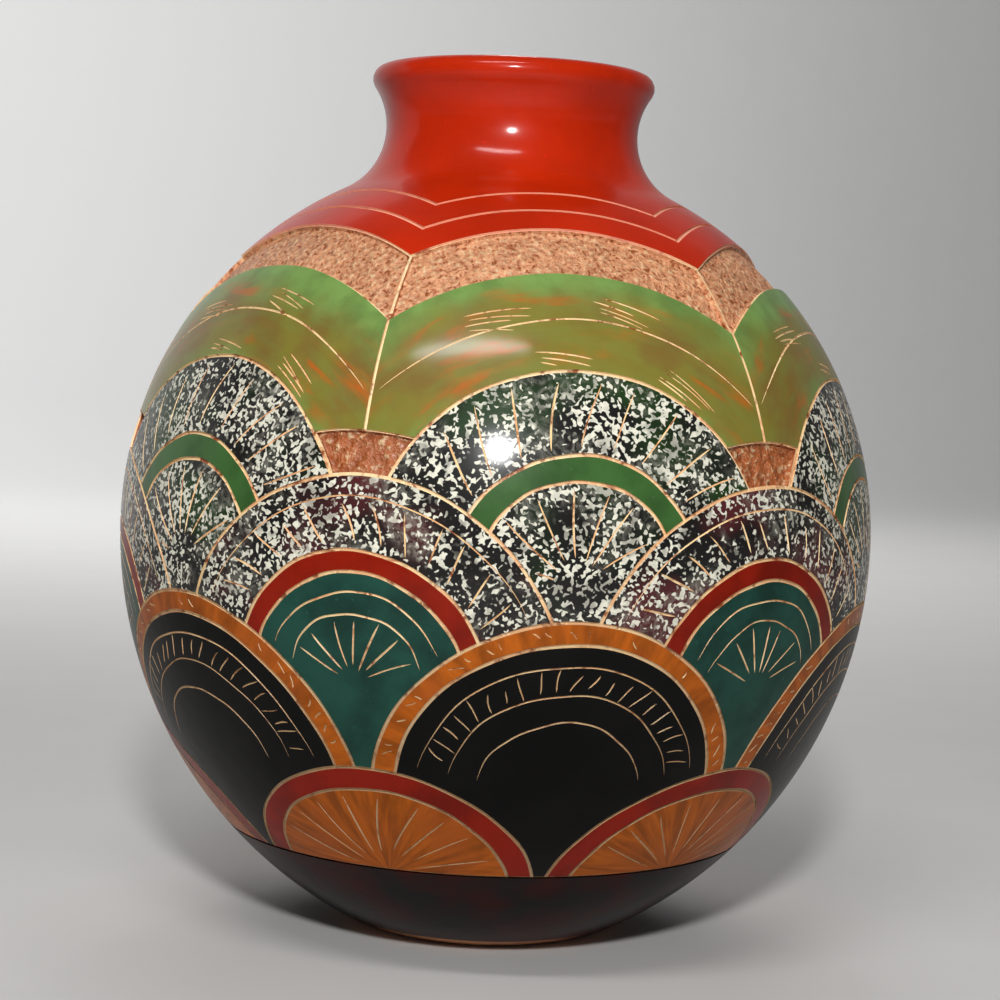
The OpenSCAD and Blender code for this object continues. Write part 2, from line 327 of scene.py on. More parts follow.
class Round:
    """Round line on the belly, drawn by hand at about one straight distance from a centre on it."""

    def __init__(self, outline, azimuth, z, r, half_span=None):
        self.o, self.phi, self.z, self.r, self.half_span = outline, azimuth, z, r, half_span
        self.rc, self.s = outline.belly_radius(z), outline.at_height(z)

    def edge(self, phi, s):
        """Distance of the line from the centre, in the direction of surface points."""
        a = np.arctan2((phi - self.phi) * self.rc, s - self.s)
        start = 5 * self.phi + 0.3 * self.z + 0.25 * self.r
        sway = 0.2 * np.sin(5 * a + start) + 0.07 * np.sin(14 * a + 3 * start)
        if self.half_span:
            sway = sway * np.clip(1 - ((phi - self.phi) / self.half_span) ** 2, 0, 1) ** 2
        return self.r + sway

    def reach(self, phi, s):
        """Straight distance of surface points from the centre."""
        r, z, _, _ = self.o.along(s)
        level = r ** 2 + self.rc ** 2 - 2 * r * self.rc * np.cos(phi - self.phi)
        return np.sqrt(level + (z - self.z) ** 2)

    def point(self, angle, r):
        """Azimuth and outline distance of the points that lie this way and this far from the centre."""
        angle, r = np.broadcast_arrays(np.asarray(angle, float), np.asarray(r, float))
        low, high = np.zeros(r.shape), 2.2 * r + 1.0
        top = self.o.ends[-1] - self.s
        flat = 0.05
        for rise, limit in ((np.sin(angle), top), (-np.sin(angle), self.s)):
            high = np.where(rise > flat, np.minimum(high, limit / np.maximum(rise, flat)), high)
        for _ in range(28):
            t = (low + high) / 2
            near = self.reach(self.phi + t * np.cos(angle) / self.rc, self.s + t * np.sin(angle)) < r
            low, high = np.where(near, t, low), np.where(near, high, t)
        return self.phi + low * np.cos(angle) / self.rc, self.s + low * np.sin(angle)

    def line(self, step):
        """The round line itself, closed, with a corner at its top."""
        n = 4 * max(6, round(math.pi * self.r / (2 * step)))
        angle = np.linspace(0.0, TURN, n + 1)
        phi, s = self.point(angle, self.r)
        for _ in range(2):
            phi, s = self.point(angle, self.edge(phi, s))
        return pairs(phi, s)


class Region:
    """Part of the surface, bounded by round lines, bay edges and level lines."""

    def __init__(self, outline, inside=(), outside=(), bay=None, low=None, high=None, step=0.8):
        self.o, self.inside, self.outside = outline, list(inside), list(outside)
        self.bay, self.low, self.high, self.step = bay, low, high, step

    def room(self, phi, s):
        """Distance to the nearest bound, positive inside the region."""
        r = self.o.along(s)[0]
        room = np.full(np.shape(phi), 1e3)
        for c in self.inside:
            room = np.minimum(room, c.edge(phi, s) - c.reach(phi, s))
        for c in self.outside:
            room = np.minimum(room, c.reach(phi, s) - c.edge(phi, s))
        if self.bay is not None:
            room = np.minimum(room, (self.bay[1] - np.abs(phi - self.bay[0])) * r)
        if self.low is not None:
            room = np.minimum(room, s - self.low)
        if self.high is not None:
            room = np.minimum(room, self.high - s)
        return room

    def lines(self):
        """Stretches of the bounding lines that lie on the region's edge."""
        found = [c.line(self.step) for c in self.inside + self.outside]
        if self.bay is not None:
            s = np.arange(0.0, self.o.ends[-1], self.step)
            found += [pairs(self.bay[0] + side * self.bay[1], s) for side in (-1, 1)]
            for level in (self.low, self.high):
                if level is not None:
                    n = int(2 * self.bay[1] * self.o.along(np.array([level]))[0][0] / self.step)
                    found.append(pairs(self.bay[0] + self.bay[1] * np.linspace(-1, 1, n + 1), level))
        elif self.low is not None:
            c = self.inside[0]
            found.append(pairs(c.phi + np.arange(-c.r, c.r, self.step) / c.rc, self.low))
        out = []
        for line in found:
            keep = self.room(line[:, 0], line[:, 1]) > -1.5 * self.step
            for run in np.split(np.arange(len(line)), np.flatnonzero(~keep)):
                run = run[keep[run]]
                if len(run) > 1:
                    out.append(line[run])
        return out


class Stroke:
    """Groove that a stylus leaves along a path on the surface, tapered at its ends."""

    def __init__(self, path, width, depth):
        self.path = path
        n = len(path)
        taper = np.minimum(1.0, 1.25 * np.sin(np.pi * (np.arange(n) + 0.35) / (n - 0.3)) ** 0.6)
        self.width, self.depth = width * taper, depth * taper


class Skin:
    """Triangles on the surface, unrolled at a radius, with their corners' depths and which are cut."""

    def __init__(self, region, spacing, strokes=(), unroll_r=None):
        o = region.o
        ref = unroll_r or o.belly_r
        lines = region.lines()
        bound = np.concatenate(lines)
        near = region.room(bound[:, 0], bound[:, 1]) > -region.step
        (phi0, s0), (phi1, s1) = bound[near].min(0), bound[near].max(0)
        row = spacing * math.sqrt(3) / 2
        ss = np.arange(s0, s1 + row, row)
        xs = np.arange(phi0 * ref, phi1 * ref + spacing, spacing)
        gx, gs = np.meshgrid(xs, ss)
        gx = gx + (np.arange(len(ss)) % 2)[:, None] * spacing / 2
        phi, s = gx.ravel() / ref, np.clip(gs.ravel(), 0, o.ends[-1])
        ok = region.room(phi, s) > 0.5 * spacing
        phi, s = phi[ok], s[ok]
        verts, edges, depth = [], [], []
        for line in lines:
            n = len(verts)
            verts += (line * (ref, 1.0)).tolist()
            depth += [0.0] * len(line)
            edges += [(n + i, n + i + 1) for i in range(len(line) - 1)]
        free = np.ones(len(phi), bool)
        for stroke in strokes:
            k = ref / o.along(stroke.path[:, 1])[0]
            p = stroke.path * (ref, 1.0)
            d = np.gradient(stroke.path, axis=0) * pairs(ref / k, 1.0)
            d /= np.linalg.norm(d, axis=1)[:, None] + 1e-12
            off = pairs(-d[:, 1] * k, d[:, 0]) * stroke.width[:, None] / 2
            left, right, m = p + off, p - off, len(p)
            n = len(verts)
            verts += p.tolist() + left[1:-1].tolist() + right[1:-1].tolist()
            depth += [0.0] + stroke.depth[1:-1].tolist() + [0.0] * (2 * m - 3)
            last = n + m - 1
            for start, stop in ((1, m - 1), (m, 2 * m - 2), (2 * m - 2, 3 * m - 4)):
                side = range(n + start, n + stop)
                edges += zip([n, *side], [*side, last])
            margin = stroke.width.max() * 0.5 + 0.2 * spacing
            lo, hi = p.min(0) - margin * k.max(), p.max(0) + margin * k.max()
            q = pairs(phi * ref, s)
            box = np.flatnonzero(free & (q > lo).all(1) & (q < hi).all(1))
            if len(box):
                gap = np.linalg.norm((q[box, None] - p[None]) / pairs(k, 1.0), axis=2).min(1)
                free[box[gap < margin + 0.3]] = False
        verts += pairs(phi[free] * ref, s[free]).tolist()
        depth += [0.0] * int(free.sum())
        verts = [Vector(v) for v in verts]
        got, _, tris, from_verts, _, _ = delaunay_2d_cdt(verts, edges, [], 0, 1e-5, True)
        got = np.array([tuple(v) for v in got])
        self.phi, self.s = got[:, 0] / ref, np.clip(got[:, 1], 0, o.ends[-1])
        self.depth = np.array([max((depth[i] for i in ids), default=0.0) for ids in from_verts])
        tris = np.array(tris)
        cut = (self.depth[tris] > 0).any(1)
        mid = got[tris].mean(1)
        room = region.room(mid[:, 0] / ref, np.clip(mid[:, 1], 0, o.ends[-1]))
        a, b, c = (got[tris[:, i]] for i in range(3))
        area = (b[:, 0] - a[:, 0]) * (c[:, 1] - a[:, 1]) - (b[:, 1] - a[:, 1]) * (c[:, 0] - a[:, 0])
        keep = (room > 0) & (np.abs(area) > 1e-7)
        flip = area < 0
        tris[flip] = tris[flip][:, ::-1]
        self.tris, self.cut = tris[keep], cut[keep]
        self.region = region

    def rim(self):
        """Directed edges that only one triangle uses."""
        t = self.tris
        e = np.concatenate([t[:, [0, 1]], t[:, [1, 2]], t[:, [2, 0]]])
        back = set(map(tuple, e[:, ::-1].tolist()))
        return np.array([p for p in map(tuple, e.tolist()) if p not in back])


def show(name, data):
    """Object of this data, in the scene."""
    obj = bpy.data.objects.new(name, data)
    bpy.context.scene.collection.objects.link(obj)
    return obj


def plain_mesh(name, verts, faces, kinds=None):
    """Mesh of these corners and faces, with the number of each face's finish."""
    mesh = bpy.data.meshes.new(name)
    mesh.from_pydata(np.asarray(verts).tolist(), [], faces)
    if kinds is not None:
        mesh.polygons.foreach_set("material_index", np.asarray(kinds, np.int32))
    return mesh


def merge(mesh, parts, near=MERGE):
    """Joins parts into a mesh, with their doubles merged and nothing loose."""
    bm = bmesh.new()
    for part in parts:
        bm.from_mesh(part)
    bmesh.ops.remove_doubles(bm, verts=bm.verts, dist=near)
    bmesh.ops.delete(bm, geom=[v for v in bm.verts if not v.link_faces], context="VERTS")
    bm.to_mesh(mesh)
    bm.free()


def shade(mesh, hard_edge=HARD_EDGE):
    """Smooths a mesh but for its hard edges."""
    mesh.polygons.foreach_set("use_smooth", np.ones(len(mesh.polygons), bool))
    mesh.set_sharp_from_angle(angle=hard_edge)


def coat_object(name, look, coats, open_bays=False):
    """Closed coat over skins, each with its centre: its face, its cut edges and its underside."""
    verts, faces, kinds, lay, base = [], [], [], [], 0
    for skin, centre in coats:
        o, n = skin.region.o, len(skin.phi)
        verts += [o.place(skin.phi, skin.s, skin.depth), o.place(skin.phi, skin.s, o.coat_d)]
        across = (skin.phi - centre.phi) * o.along(skin.s)[0]
        turn = np.arctan2(across, skin.s - centre.s)
        lay += 2 * [pairs(turn, centre.reach(skin.phi, skin.s) * MM)]
        t = skin.tris + base
        faces += t.tolist() + (t[:, ::-1] + n).tolist()
        kinds += skin.cut.astype(int).tolist() + [1] * len(t)
        rim = skin.rim()
        if open_bays:
            side = np.abs(np.abs(skin.phi - skin.region.bay[0]) - skin.region.bay[1]) < 1e-5
            rim = rim[~(side[rim[:, 0]] & side[rim[:, 1]])]
        faces += [[b + base, a + base, a + base + n, b + base + n] for a, b in rim.tolist()]
        kinds += [1] * len(rim)
        base += 2 * n
    mesh = plain_mesh(name, np.concatenate(verts), faces, kinds)
    for kind in (look, "cut"):
        mesh.materials.append(finish(kind))
    loops = np.empty(len(mesh.loops), np.int32)
    mesh.loops.foreach_get("vertex_index", loops)
    uv = mesh.uv_layers.new(name="Lay")
    uv.data.foreach_set("uv", np.concatenate(lay).astype(np.float32)[loops].ravel())
    merge(mesh, [mesh])
    shade(mesh)
    return show(name, mesh)


class Ground:
    """Floor of the carved places of one kind, before the tool bites into it."""

    def __init__(self):
        self.verts, self.faces, self.loose, self.count = [], [], [], 0

    def add(self, skin, depth):
        """Adds the floor of one carved place."""
        self.verts.append(skin.region.o.place(skin.phi, skin.s, depth))
        self.faces += (skin.tris + self.count).tolist()
        self.loose.append(np.clip(skin.region.room(skin.phi, skin.s) / 0.5, 0, 1))
        self.count += len(skin.phi)

    def mesh(self):
        """Plain mesh of the floors, marked with how far each corner may move."""
        mesh = plain_mesh("ground", np.concatenate(self.verts), self.faces)
        loose = mesh.attributes.new("loose", "FLOAT", "POINT")
        loose.data.foreach_set("value", np.concatenate(self.loose))
        return mesh


class Carved(Region):
    """Outside of the clay in one bay, less its carved grounds."""

    def __init__(self, outline, grounds, bay, low, high):
        super().__init__(outline, bay=bay, low=low, high=high, step=1.0)
        self.grounds = grounds

    def room(self, phi, s):
        room = super().room(phi, s)
        for g in self.grounds:
            room = np.minimum(room, -g.room(phi, s))
        return room

    def lines(self):
        sides = round(SIDES * self.bay[1] / math.pi)
        phi = self.bay[0] + self.bay[1] * np.linspace(-1, 1, sides + 1)
        s = np.linspace(self.low, self.high, 120)
        out = [pairs(phi, level) for level in (self.low, self.high)]
        out += [pairs(self.bay[0] + side * self.bay[1], s) for side in (-1, 1)]
        return out + [line for g in self.grounds for line in g.lines()]


# Layout of the pattern


class Layout:
    """Round lines, regions and tool strokes of the decoration."""

    def __init__(self, body, pattern):
        self.o = Outline(body)
        lengths = [k for k in VasePattern.__annotations__ if k not in ("bays", "seed")]
        self.p = {k: getattr(pattern, k) / MM for k in lengths}
        self.bays, self.seed = pattern.bays, pattern.seed
        self.bay = TURN / self.bays
        self.half = self.p["line_w"] / 2
        self.half_a = math.asin(self.half / self.o.belly_r)
        self.low = self.o.at_height(self.tier_z(3) + self.p["foot_line_rise"]) + self.half
        self.shoulder = self.o.at_height(self.p["fan_z"])

    def tier_z(self, tier):
        """Height of the centres of a tier's fans, counted from the top."""
        return self.p["fan_z"] - tier * self.p["fan_drop"]

    def tier_r(self, tier):
        """Reach of a tier's fans."""
        return self.o.belly_radius(self.tier_z(tier)) * math.sin(self.bay / 2)

    def fan(self, tier, azimuth, grow=0.0):
        """Round edge of a fan."""
        return Round(self.o, azimuth, self.tier_z(tier), self.tier_r(tier) + grow)

    def scallop(self, bay, r):
        """Round line about a scallop's centre."""
        return Round(self.o, bay * self.bay, self.p["scallop_z"], r, self.bay / 2)

    def fan_region(self, tier, bay, r_out, r_in):
        """Band of a fan, less what the tiers below it cover."""
        az = (bay + tier % 2 / 2) * self.bay
        z = self.tier_z(tier)
        out = [Round(self.o, az, z, r_in + self.half)] if r_in else []
        if tier < 3:
            out += [self.fan(tier + 1, az + side * self.bay / 2, self.half) for side in (-1, 1)]
        if tier < 2:
            out.append(self.fan(tier + 2, az, self.half))
        low = self.low if tier > 1 else None
        return Region(self.o, [Round(self.o, az, z, r_out - self.half)], out, low=low)

    def hand(self, *key):
        """Random numbers that are the same in every run."""
        return np.random.default_rng([self.seed, *key])

    def stroke(self, region, path, rng, width=1.0):
        """Stroke along a path, kept clear of the region's edge, or None if it is too short."""
        clear = region.room(path[:, 0], path[:, 1]) > STROKE_GAP
        runs = [r[clear[r]] for r in np.split(np.arange(len(path)), np.flatnonzero(~clear))]
        run = max(runs, key=len)
        if len(run) < 5:
            return None
        w = self.p["stroke_w"] * width * rng.uniform(0.8, 1.2)
        return Stroke(path[run], w, self.p["stroke_d"] * rng.uniform(0.8, 1.1))

    def arc(self, region, centre, r, a0, a1, rng, width=1.0):
        """Stroke along a round line about a centre, between two angles from straight up."""
        n = max(8, int(abs(a1 - a0) * r / 0.8))
        a = np.linspace(a0, a1, n)
        sway = 0.3 * np.sin(a * rng.uniform(3, 6) + rng.uniform(0, 6))
        sway += 0.08 * np.sin(a * 13 + rng.uniform(0, 6))
        return self.stroke(region, pairs(*centre.point(math.pi / 2 - a, r + sway)), rng, width)

    def rays(self, region, centre, spread, count, r0, r1, rng, lean=0.0, width=1.0):
        """Row of strokes outwards from a centre, about straight up, as uneven as a hand makes them."""
        t = np.linspace(0, 1, max(7, int(abs(r1 - r0) / 1.1)))
        mid = spread * (2 * (np.arange(count) + 0.5) / count - 1)
        mid = mid + rng.normal(0, 0.12, count) * spread / count
        tilt = lean + rng.normal(0, 0.015, count)
        sway = 0.012 * np.sin(t * 3 + rng.uniform(0, 6, (count, 1)))
        ends = np.stack([r0 + rng.normal(0, 0.5, count), r1 + rng.normal(0, 0.7, count)])
        reach = ends[0][:, None] + (ends[1] - ends[0])[:, None] * t
        angle = mid[:, None] + tilt[:, None] * t + sway
        paths = pairs(*centre.point(math.pi / 2 - angle, reach))
        return [self.stroke(region, path, rng, width) for path in paths]

    def scratches(self, region, centre, angle, r, rng, count=4):
        """Bunch of long thin strokes side by side, roughly along a round line."""
        out = []
        for i in range(count):
            t = np.linspace(0, 1, 16)
            a = angle + rng.normal(0, 0.025) + t * rng.uniform(0.16, 0.26)
            reach = r - 1.25 * i + rng.normal(0, 0.2) - (2.2 + rng.normal(0, 0.4)) * t
            out.append(self.stroke(region, pairs(*centre.point(math.pi / 2 - a, reach)), rng, 0.62))
        return out


# Node trees


class Nodes:
    """Node tree, with short calls that make and link its nodes."""

    def __init__(self, tree):
        self.tree = tree

    def node(self, kind, settings=None, **sockets):
        """Node with its settings, and with its sockets linked or set."""
        n = self.tree.nodes.new(kind)
        for k, v in (settings or {}).items():
            setattr(n, k, v)
        for k, v in sockets.items():
            self.put(n.inputs[k.replace("_", " ")], v)
        return n

    def put(self, socket, value):
        """Links a socket to another, or sets it."""
        if isinstance(value, bpy.types.NodeSocket):
            self.tree.links.new(value, socket)
        elif socket.type == "RGBA" and len(value) == 3:
            socket.default_value = (*value, 1.0)
        else:
            socket.default_value = value

    def calc(self, op, *values, kind="ShaderNodeMath"):
        """Result of a sum on values, or on vectors."""
        n = self.node(kind, {"operation": op})
        for socket, v in zip(n.inputs, values):
            self.put(socket, v)
        return n.outputs[0]

    def parts(self, vector):
        """X, Y and Z of a vector."""
        return self.node("ShaderNodeSeparateXYZ", Vector=vector).outputs


# Materials


class Mix(Nodes):
    """Material, with short calls for what its surface is mixed from."""

    def __init__(self, name):
        self.material = bpy.data.materials.new(name)
        self.material.use_nodes = True
        super().__init__(self.material.node_tree)
        self.tree.nodes.clear()
        self.shader = self.node("ShaderNodeBsdfPrincipled")
        self.node("ShaderNodeOutputMaterial", Surface=self.shader.outputs[0])
        self.place = self.node("ShaderNodeTexCoord").outputs["Object"]

    def noise(self, size, detail=3.0, rough=0.55, warp=0.0, vector=None, contrast=None):
        """Noise with features of about this size, in metres."""
        n = self.node("ShaderNodeTexNoise", Vector=vector or self.place, Scale=1 / size, Detail=detail,
                      Roughness=rough, Distortion=warp)
        out = n.outputs["Fac"]
        return self.span(out, *contrast) if contrast else out

    def span(self, value, low, high, to_low=0.0, to_high=1.0):
        """Value that changes smoothly between two bounds."""
        n = self.node("ShaderNodeMapRange", {"interpolation_type": "SMOOTHSTEP"})
        for socket, v in zip(n.inputs, (value, low, high, to_low, to_high)):
            self.put(socket, v)
        return n.outputs[0]

    def blend(self, amount, a, b):
        """Mixture of two colours."""
        n = self.node("ShaderNodeMix", {"data_type": "RGBA"})
        for i, v in ((0, amount), (6, a), (7, b)):
            self.put(n.inputs[i], v)
        return n.outputs[2]

    def around(self):
        """Angle about the coat's centre and distance from it."""
        return self.node("ShaderNodeUVMap", {"uv_map": "Lay"}).outputs[0]

    def lay(self, around, out):
        """Texture position that runs with the coat's brush, stretched around and out from its centre."""
        return self.node("ShaderNodeMapping", Vector=self.around(), Scale=(around, out, 1.0)).outputs[0]

    def set(self, **values):
        """Sets or links the shader's own sockets."""
        for k, v in values.items():
            self.put(self.shader.inputs[k.replace("_", " ")], v)

    def paint(self, value):
        """Gives the surface its colour."""
        self.set(Base_Color=value)

    def bump(self, height, distance, strength):
        """Raises the surface a little where a value is high."""
        n = self.node("ShaderNodeBump", Strength=strength, Distance=distance, Height=height)
        self.set(Normal=n.outputs[0])

    def wax(self, coat=0.34):
        """Sheen of a burnished, waxed coat."""
        self.set(Roughness=0.36, Specular_IOR_Level=0.06)
        self.set(Coat_Weight=coat, Coat_Roughness=0.13, Coat_IOR=1.5)

    def burnish(self, extra=None):
        """Slight facets and scratches of the burnishing stone."""
        h = self.calc("MULTIPLY_ADD", self.noise(0.003, 2.0), 0.12, self.noise(0.016, 2.0))
        if extra is not None:
            h = self.calc("ADD", h, extra)
        self.bump(h, 0.0006, 0.35)


def scaled(c, k):
    """Colour made lighter or darker."""
    return tuned(c, k, k, k)


def tuned(c, *k):
    """Colour with its red, green and blue made stronger or weaker."""
    return tuple(min(1.0, x * y) for x, y in zip(c, k))


def plain_slip(name, tint, dark, mottle=0.014, coat=0.34):
    """Even coat of burnished slip, slightly mottled."""
    m = Mix(name)
    tone = m.blend(m.noise(mottle, 4.0, contrast=(0.35, 0.7)), tint, dark)
    m.paint(m.blend(m.noise(0.0012, 2.0, contrast=(0.66, 0.8)), tone, scaled(tint, 1.25)))
    m.wax(coat=coat)
    m.burnish()
    return m.material


def green_slip(c):
    """Green that turns to olive in the middle of a bay, with rust along the brush's way."""
    m = Mix("GreenSlip")
    pattern = bpy.context.scene.vase_pattern
    edge = pattern.scallop_r - pattern.arch_w
    out = m.parts(m.around())[1]
    cloud = m.calc("SUBTRACT", m.noise(0.022, 3.0), 0.5)
    reach = m.calc("MULTIPLY_ADD", cloud, 0.022, out)
    outer, inner = m.span(reach, edge, edge - 0.012), m.span(reach, edge - 0.036, edge - 0.022)
    middle = m.calc("MULTIPLY", outer, inner)
    tone = m.blend(m.noise(0.009, 4.0, contrast=(0.35, 0.7)), c.green, scaled(c.green, 0.66))
    brown = tuned(c.olive, 0.95, 0.66, 1.0)
    olive = m.blend(m.noise(0.02, 3.0, contrast=(0.42, 0.62)), c.olive, brown)
    tone = m.blend(m.calc("MULTIPLY", middle, 0.85), tone, olive)
    streak = m.noise(1.0, 4.0, 0.6, 0.5, vector=m.lay(3.2, 210.0), contrast=(0.49, 0.7))
    patch = m.noise(0.026, 2.0, contrast=(0.38, 0.58))
    rust = m.calc("MULTIPLY", m.calc("MULTIPLY", streak, middle), patch)
    tone = m.blend(m.calc("MULTIPLY", rust, 0.9), tone, c.rust)
    wash = m.noise(1.0, 3.0, 0.6, 0.3, vector=m.lay(4.0, 320.0), contrast=(0.4, 0.7))
    m.paint(m.blend(m.calc("MULTIPLY", wash, 0.22), tone, scaled(c.green, 0.8)))
    m.wax()
    m.burnish()
    return m.material


def sponged_slip(name, tint, c, cover):
    """Dark slip with the cream prints of a sponge, faint or smeared here and there."""
    m = Mix(name)
    drift = m.noise(0.012, 2.0)
    level = m.calc("MULTIPLY_ADD", drift, 0.5, m.noise(0.00125, 0.0, 0.4, 0.45))
    edge = 0.92 - 0.1 * cover
    prints = m.span(level, edge - 0.02, edge + 0.035)
    specks = m.noise(0.0011, 0.0, warp=0.3, contrast=(0.6, 0.66))
    prints = m.calc("MAXIMUM", prints, m.calc("MULTIPLY", specks, m.span(drift, 0.36, 0.5)))
    faint = m.noise(0.007, 2.0, contrast=(0.34, 0.48))
    smear = m.noise(0.0036, 4.0, 0.7, 1.6, contrast=(0.4, 0.75))
    haze = m.calc("MULTIPLY", m.noise(0.018, 2.0, contrast=(0.44, 0.62)), smear)
    tone = m.blend(m.noise(0.022, 2.0, contrast=(0.46, 0.66)), scaled(c.black, 3.0), tint)
    tone = m.blend(m.calc("MULTIPLY", haze, 0.44), tone, scaled(c.cream, 0.6))
    shade = m.blend(m.noise(0.0016, 2.0, contrast=(0.38, 0.66)), c.cream, scaled(c.cream, 0.8))
    m.paint(m.blend(m.calc("MULTIPLY", prints, m.span(faint, 0.0, 1.0, 0.5, 0.97)), tone, shade))
    m.wax()
    m.burnish(m.calc("MULTIPLY", prints, 0.04))
    return m.material


def amber_slip(c):
    """Amber slip with the streaks of a dry brush."""
    m = Mix("AmberSlip")
    brush = m.noise(1.0, 5.0, 0.62, 0.4, vector=m.lay(7.0, 45.0))
    tone = m.blend(m.span(brush, 0.36, 0.66), scaled(c.amber, 0.5), c.amber)
    m.paint(m.blend(m.noise(0.016, 4.0, contrast=(0.5, 0.74)), tone, scaled(c.rust, 0.8)))
    m.wax(coat=0.15)
    m.burnish()
    return m.material


def cut_clay(c):
    """Clay that the stylus laid bare, pale or rusty, tinged by the red, with painted shade that darkens it towards the
    foot.
    """
    m = Mix("CutClay")
    height = m.parts(m.place)[2]
    warm = tuned(c.cut_clay, 0.92, 0.74, 0.66)
    tone = m.blend(m.noise(0.012, 3.0, contrast=(0.42, 0.6)), c.cut_clay, warm)
    tone = m.blend(m.noise(0.0035, 3.0, contrast=(0.53, 0.68)), tone, scaled(c.rust, 0.62))
    tone = m.blend(m.noise(0.0009, 2.0, contrast=(0.56, 0.7)), tone, scaled(c.cut_clay, 1.15))
    # Painted shade: the lines grow darker towards the foot, where the light falls off
    tone = m.blend(m.span(height, 0.05, 0.115, 0.75, 0.0), tone, scaled(warm, 0.42))
    tinged = tuned(c.cut_clay, 0.98, 0.52, 0.62)
    m.paint(m.blend(m.span(height, 0.172, 0.184, 0.0, 0.85), tone, tinged))
    m.set(Roughness=0.55)
    m.bump(m.noise(0.0006, 2.0), 0.0002, 0.5)
    return m.material


def carved_clay(name, tint, c, grain_size):
    """Carved ground, with painted highlights on the ridges of its grain and painted shade in its hollows and in the
    bites of the tool.
    """
    m = Mix(name)
    pit = m.node("ShaderNodeAttribute", {"attribute_name": "pit"}).outputs["Fac"]
    grain = m.noise(grain_size, 2.5, 0.6)
    tone = m.blend(m.noise(0.016, 3.0, contrast=(0.35, 0.7)), tint, scaled(tint, 0.8))
    # Painted highlight: the ridges of the grain, which the bump raises, are paler
    ridge_highlight = [0.35 * a + 0.6 * b for a, b in zip(tint, c.cut_clay)]
    tone = m.blend(m.span(grain, 0.52, 0.66), tone, ridge_highlight)
    # Painted shade: the hollows of the grain are darkened towards rust
    tone = m.blend(m.span(grain, 0.46, 0.34), tone, scaled(c.rust, 0.62))
    # Painted shade: the tool's bites, already pressed into the mesh, are darkened towards rust
    m.paint(m.blend(m.calc("MULTIPLY", pit, 0.45), tone, scaled(c.rust, 0.4)))
    m.set(Roughness=0.45, Coat_Weight=0.15, Coat_Roughness=0.25)
    m.bump(grain, grain_size, 0.9)
    return m.material


def bare_clay(c):
    """Bare clay as it comes from the fire."""
    m = Mix("BareClay")
    tone = m.blend(m.noise(0.02, 4.0, contrast=(0.35, 0.7)), scaled(c.clay, 0.8), scaled(c.clay, 0.6))
    m.paint(m.blend(m.noise(0.0009, 2.0, contrast=(0.6, 0.75)), tone, scaled(c.clay, 0.4)))
    m.set(Roughness=0.75)
    m.bump(m.noise(0.0007, 4.0), 0.0003, 0.5)
    return m.material


FINISHES = {
    "red": lambda c: plain_slip("RedSlip", c.red, scaled(c.red, 0.8), mottle=0.03),
    "dark_red": lambda c: plain_slip("DarkRedSlip", c.dark_red, scaled(c.dark_red, 0.6), coat=0.14),
    "green": green_slip,
    "deep_green": lambda c: plain_slip("DeepGreenSlip", c.deep_green, scaled(c.deep_green, 0.6)),
    "teal": lambda c: plain_slip("TealSlip", c.teal, scaled(c.teal, 0.5), coat=0.18),
    "black": lambda c: plain_slip("BlackSlip", c.black, scaled(c.black, 0.6), coat=0.08),
    "foot": lambda c: plain_slip("FootSlip", scaled(c.black, 1.6), scaled(c.dark_red, 0.12), coat=0.08),
    "sponged": lambda c: sponged_slip("SpongedSlip", scaled(c.deep_green, 0.3), c, 0.4),
    "maroon": lambda c: sponged_slip("MaroonSpongedSlip", c.maroon, c, 0.2),
    "amber": amber_slip,
    "cut": cut_clay,
    "arch": lambda c: carved_clay("CarvedArch", c.clay, c, 0.0011),
    "halo": lambda c: carved_clay("CarvedHalo", c.waxed_clay, c, 0.0017),
    "bare": bare_clay,
}


def finish(name):
    """Material of a finish, made once."""
    key = f"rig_{name}"
    scene = bpy.context.scene
    if key not in scene:
        scene[key] = FINISHES[name](scene.vase_colours).name
    return bpy.data.materials[scene[key]]


# Geometry Nodes


class Tree(Nodes):
    """Geometry Nodes tree with named inputs, built node by node."""

    def __init__(self, name, inputs):
        super().__init__(bpy.data.node_groups.new(name, "GeometryNodeTree"))
        face = self.tree.interface
        face.new_socket("Geometry", in_out="INPUT", socket_type="NodeSocketGeometry")
        for label, kind in inputs.items():
            face.new_socket(label, in_out="INPUT", socket_type=f"NodeSocket{kind}")
        face.new_socket("Geometry", in_out="OUTPUT", socket_type="NodeSocketGeometry")
        self.given = self.node("NodeGroupInput").outputs
        self.out = self.node("NodeGroupOutput").inputs[0]

    def close(self, geometry):
        """Ends the tree in real geometry with its material."""
        real = self.node("GeometryNodeRealizeInstances", Geometry=geometry).outputs[0]
        done = self.node("GeometryNodeSetMaterial", Geometry=real, Material=self.given["Material"])
        self.tree.links.new(done.outputs[0], self.out)

    def run(self, mesh, **values):
        """Plain mesh that the tree makes from a mesh."""
        obj = show("tmp", mesh)
        mod = obj.modifiers.new("tree", "NODES")
        mod.node_group = self.tree
        for item in self.tree.interface.items_tree:
            if item.in_out == "INPUT" and item.name in values:
                mod[item.identifier] = values[item.name]
        graph = bpy.context.evaluated_depsgraph_get()
        graph.update()
        made = bpy.data.meshes.new_from_object(obj.evaluated_get(graph), depsgraph=graph)
        made.materials.clear()
        made.materials.append(values["Material"])
        made.polygons.foreach_set("material_index", np.zeros(len(made.polygons), np.int32))
        obj.modifiers.remove(mod)
        bpy.data.objects.remove(obj)
        return made


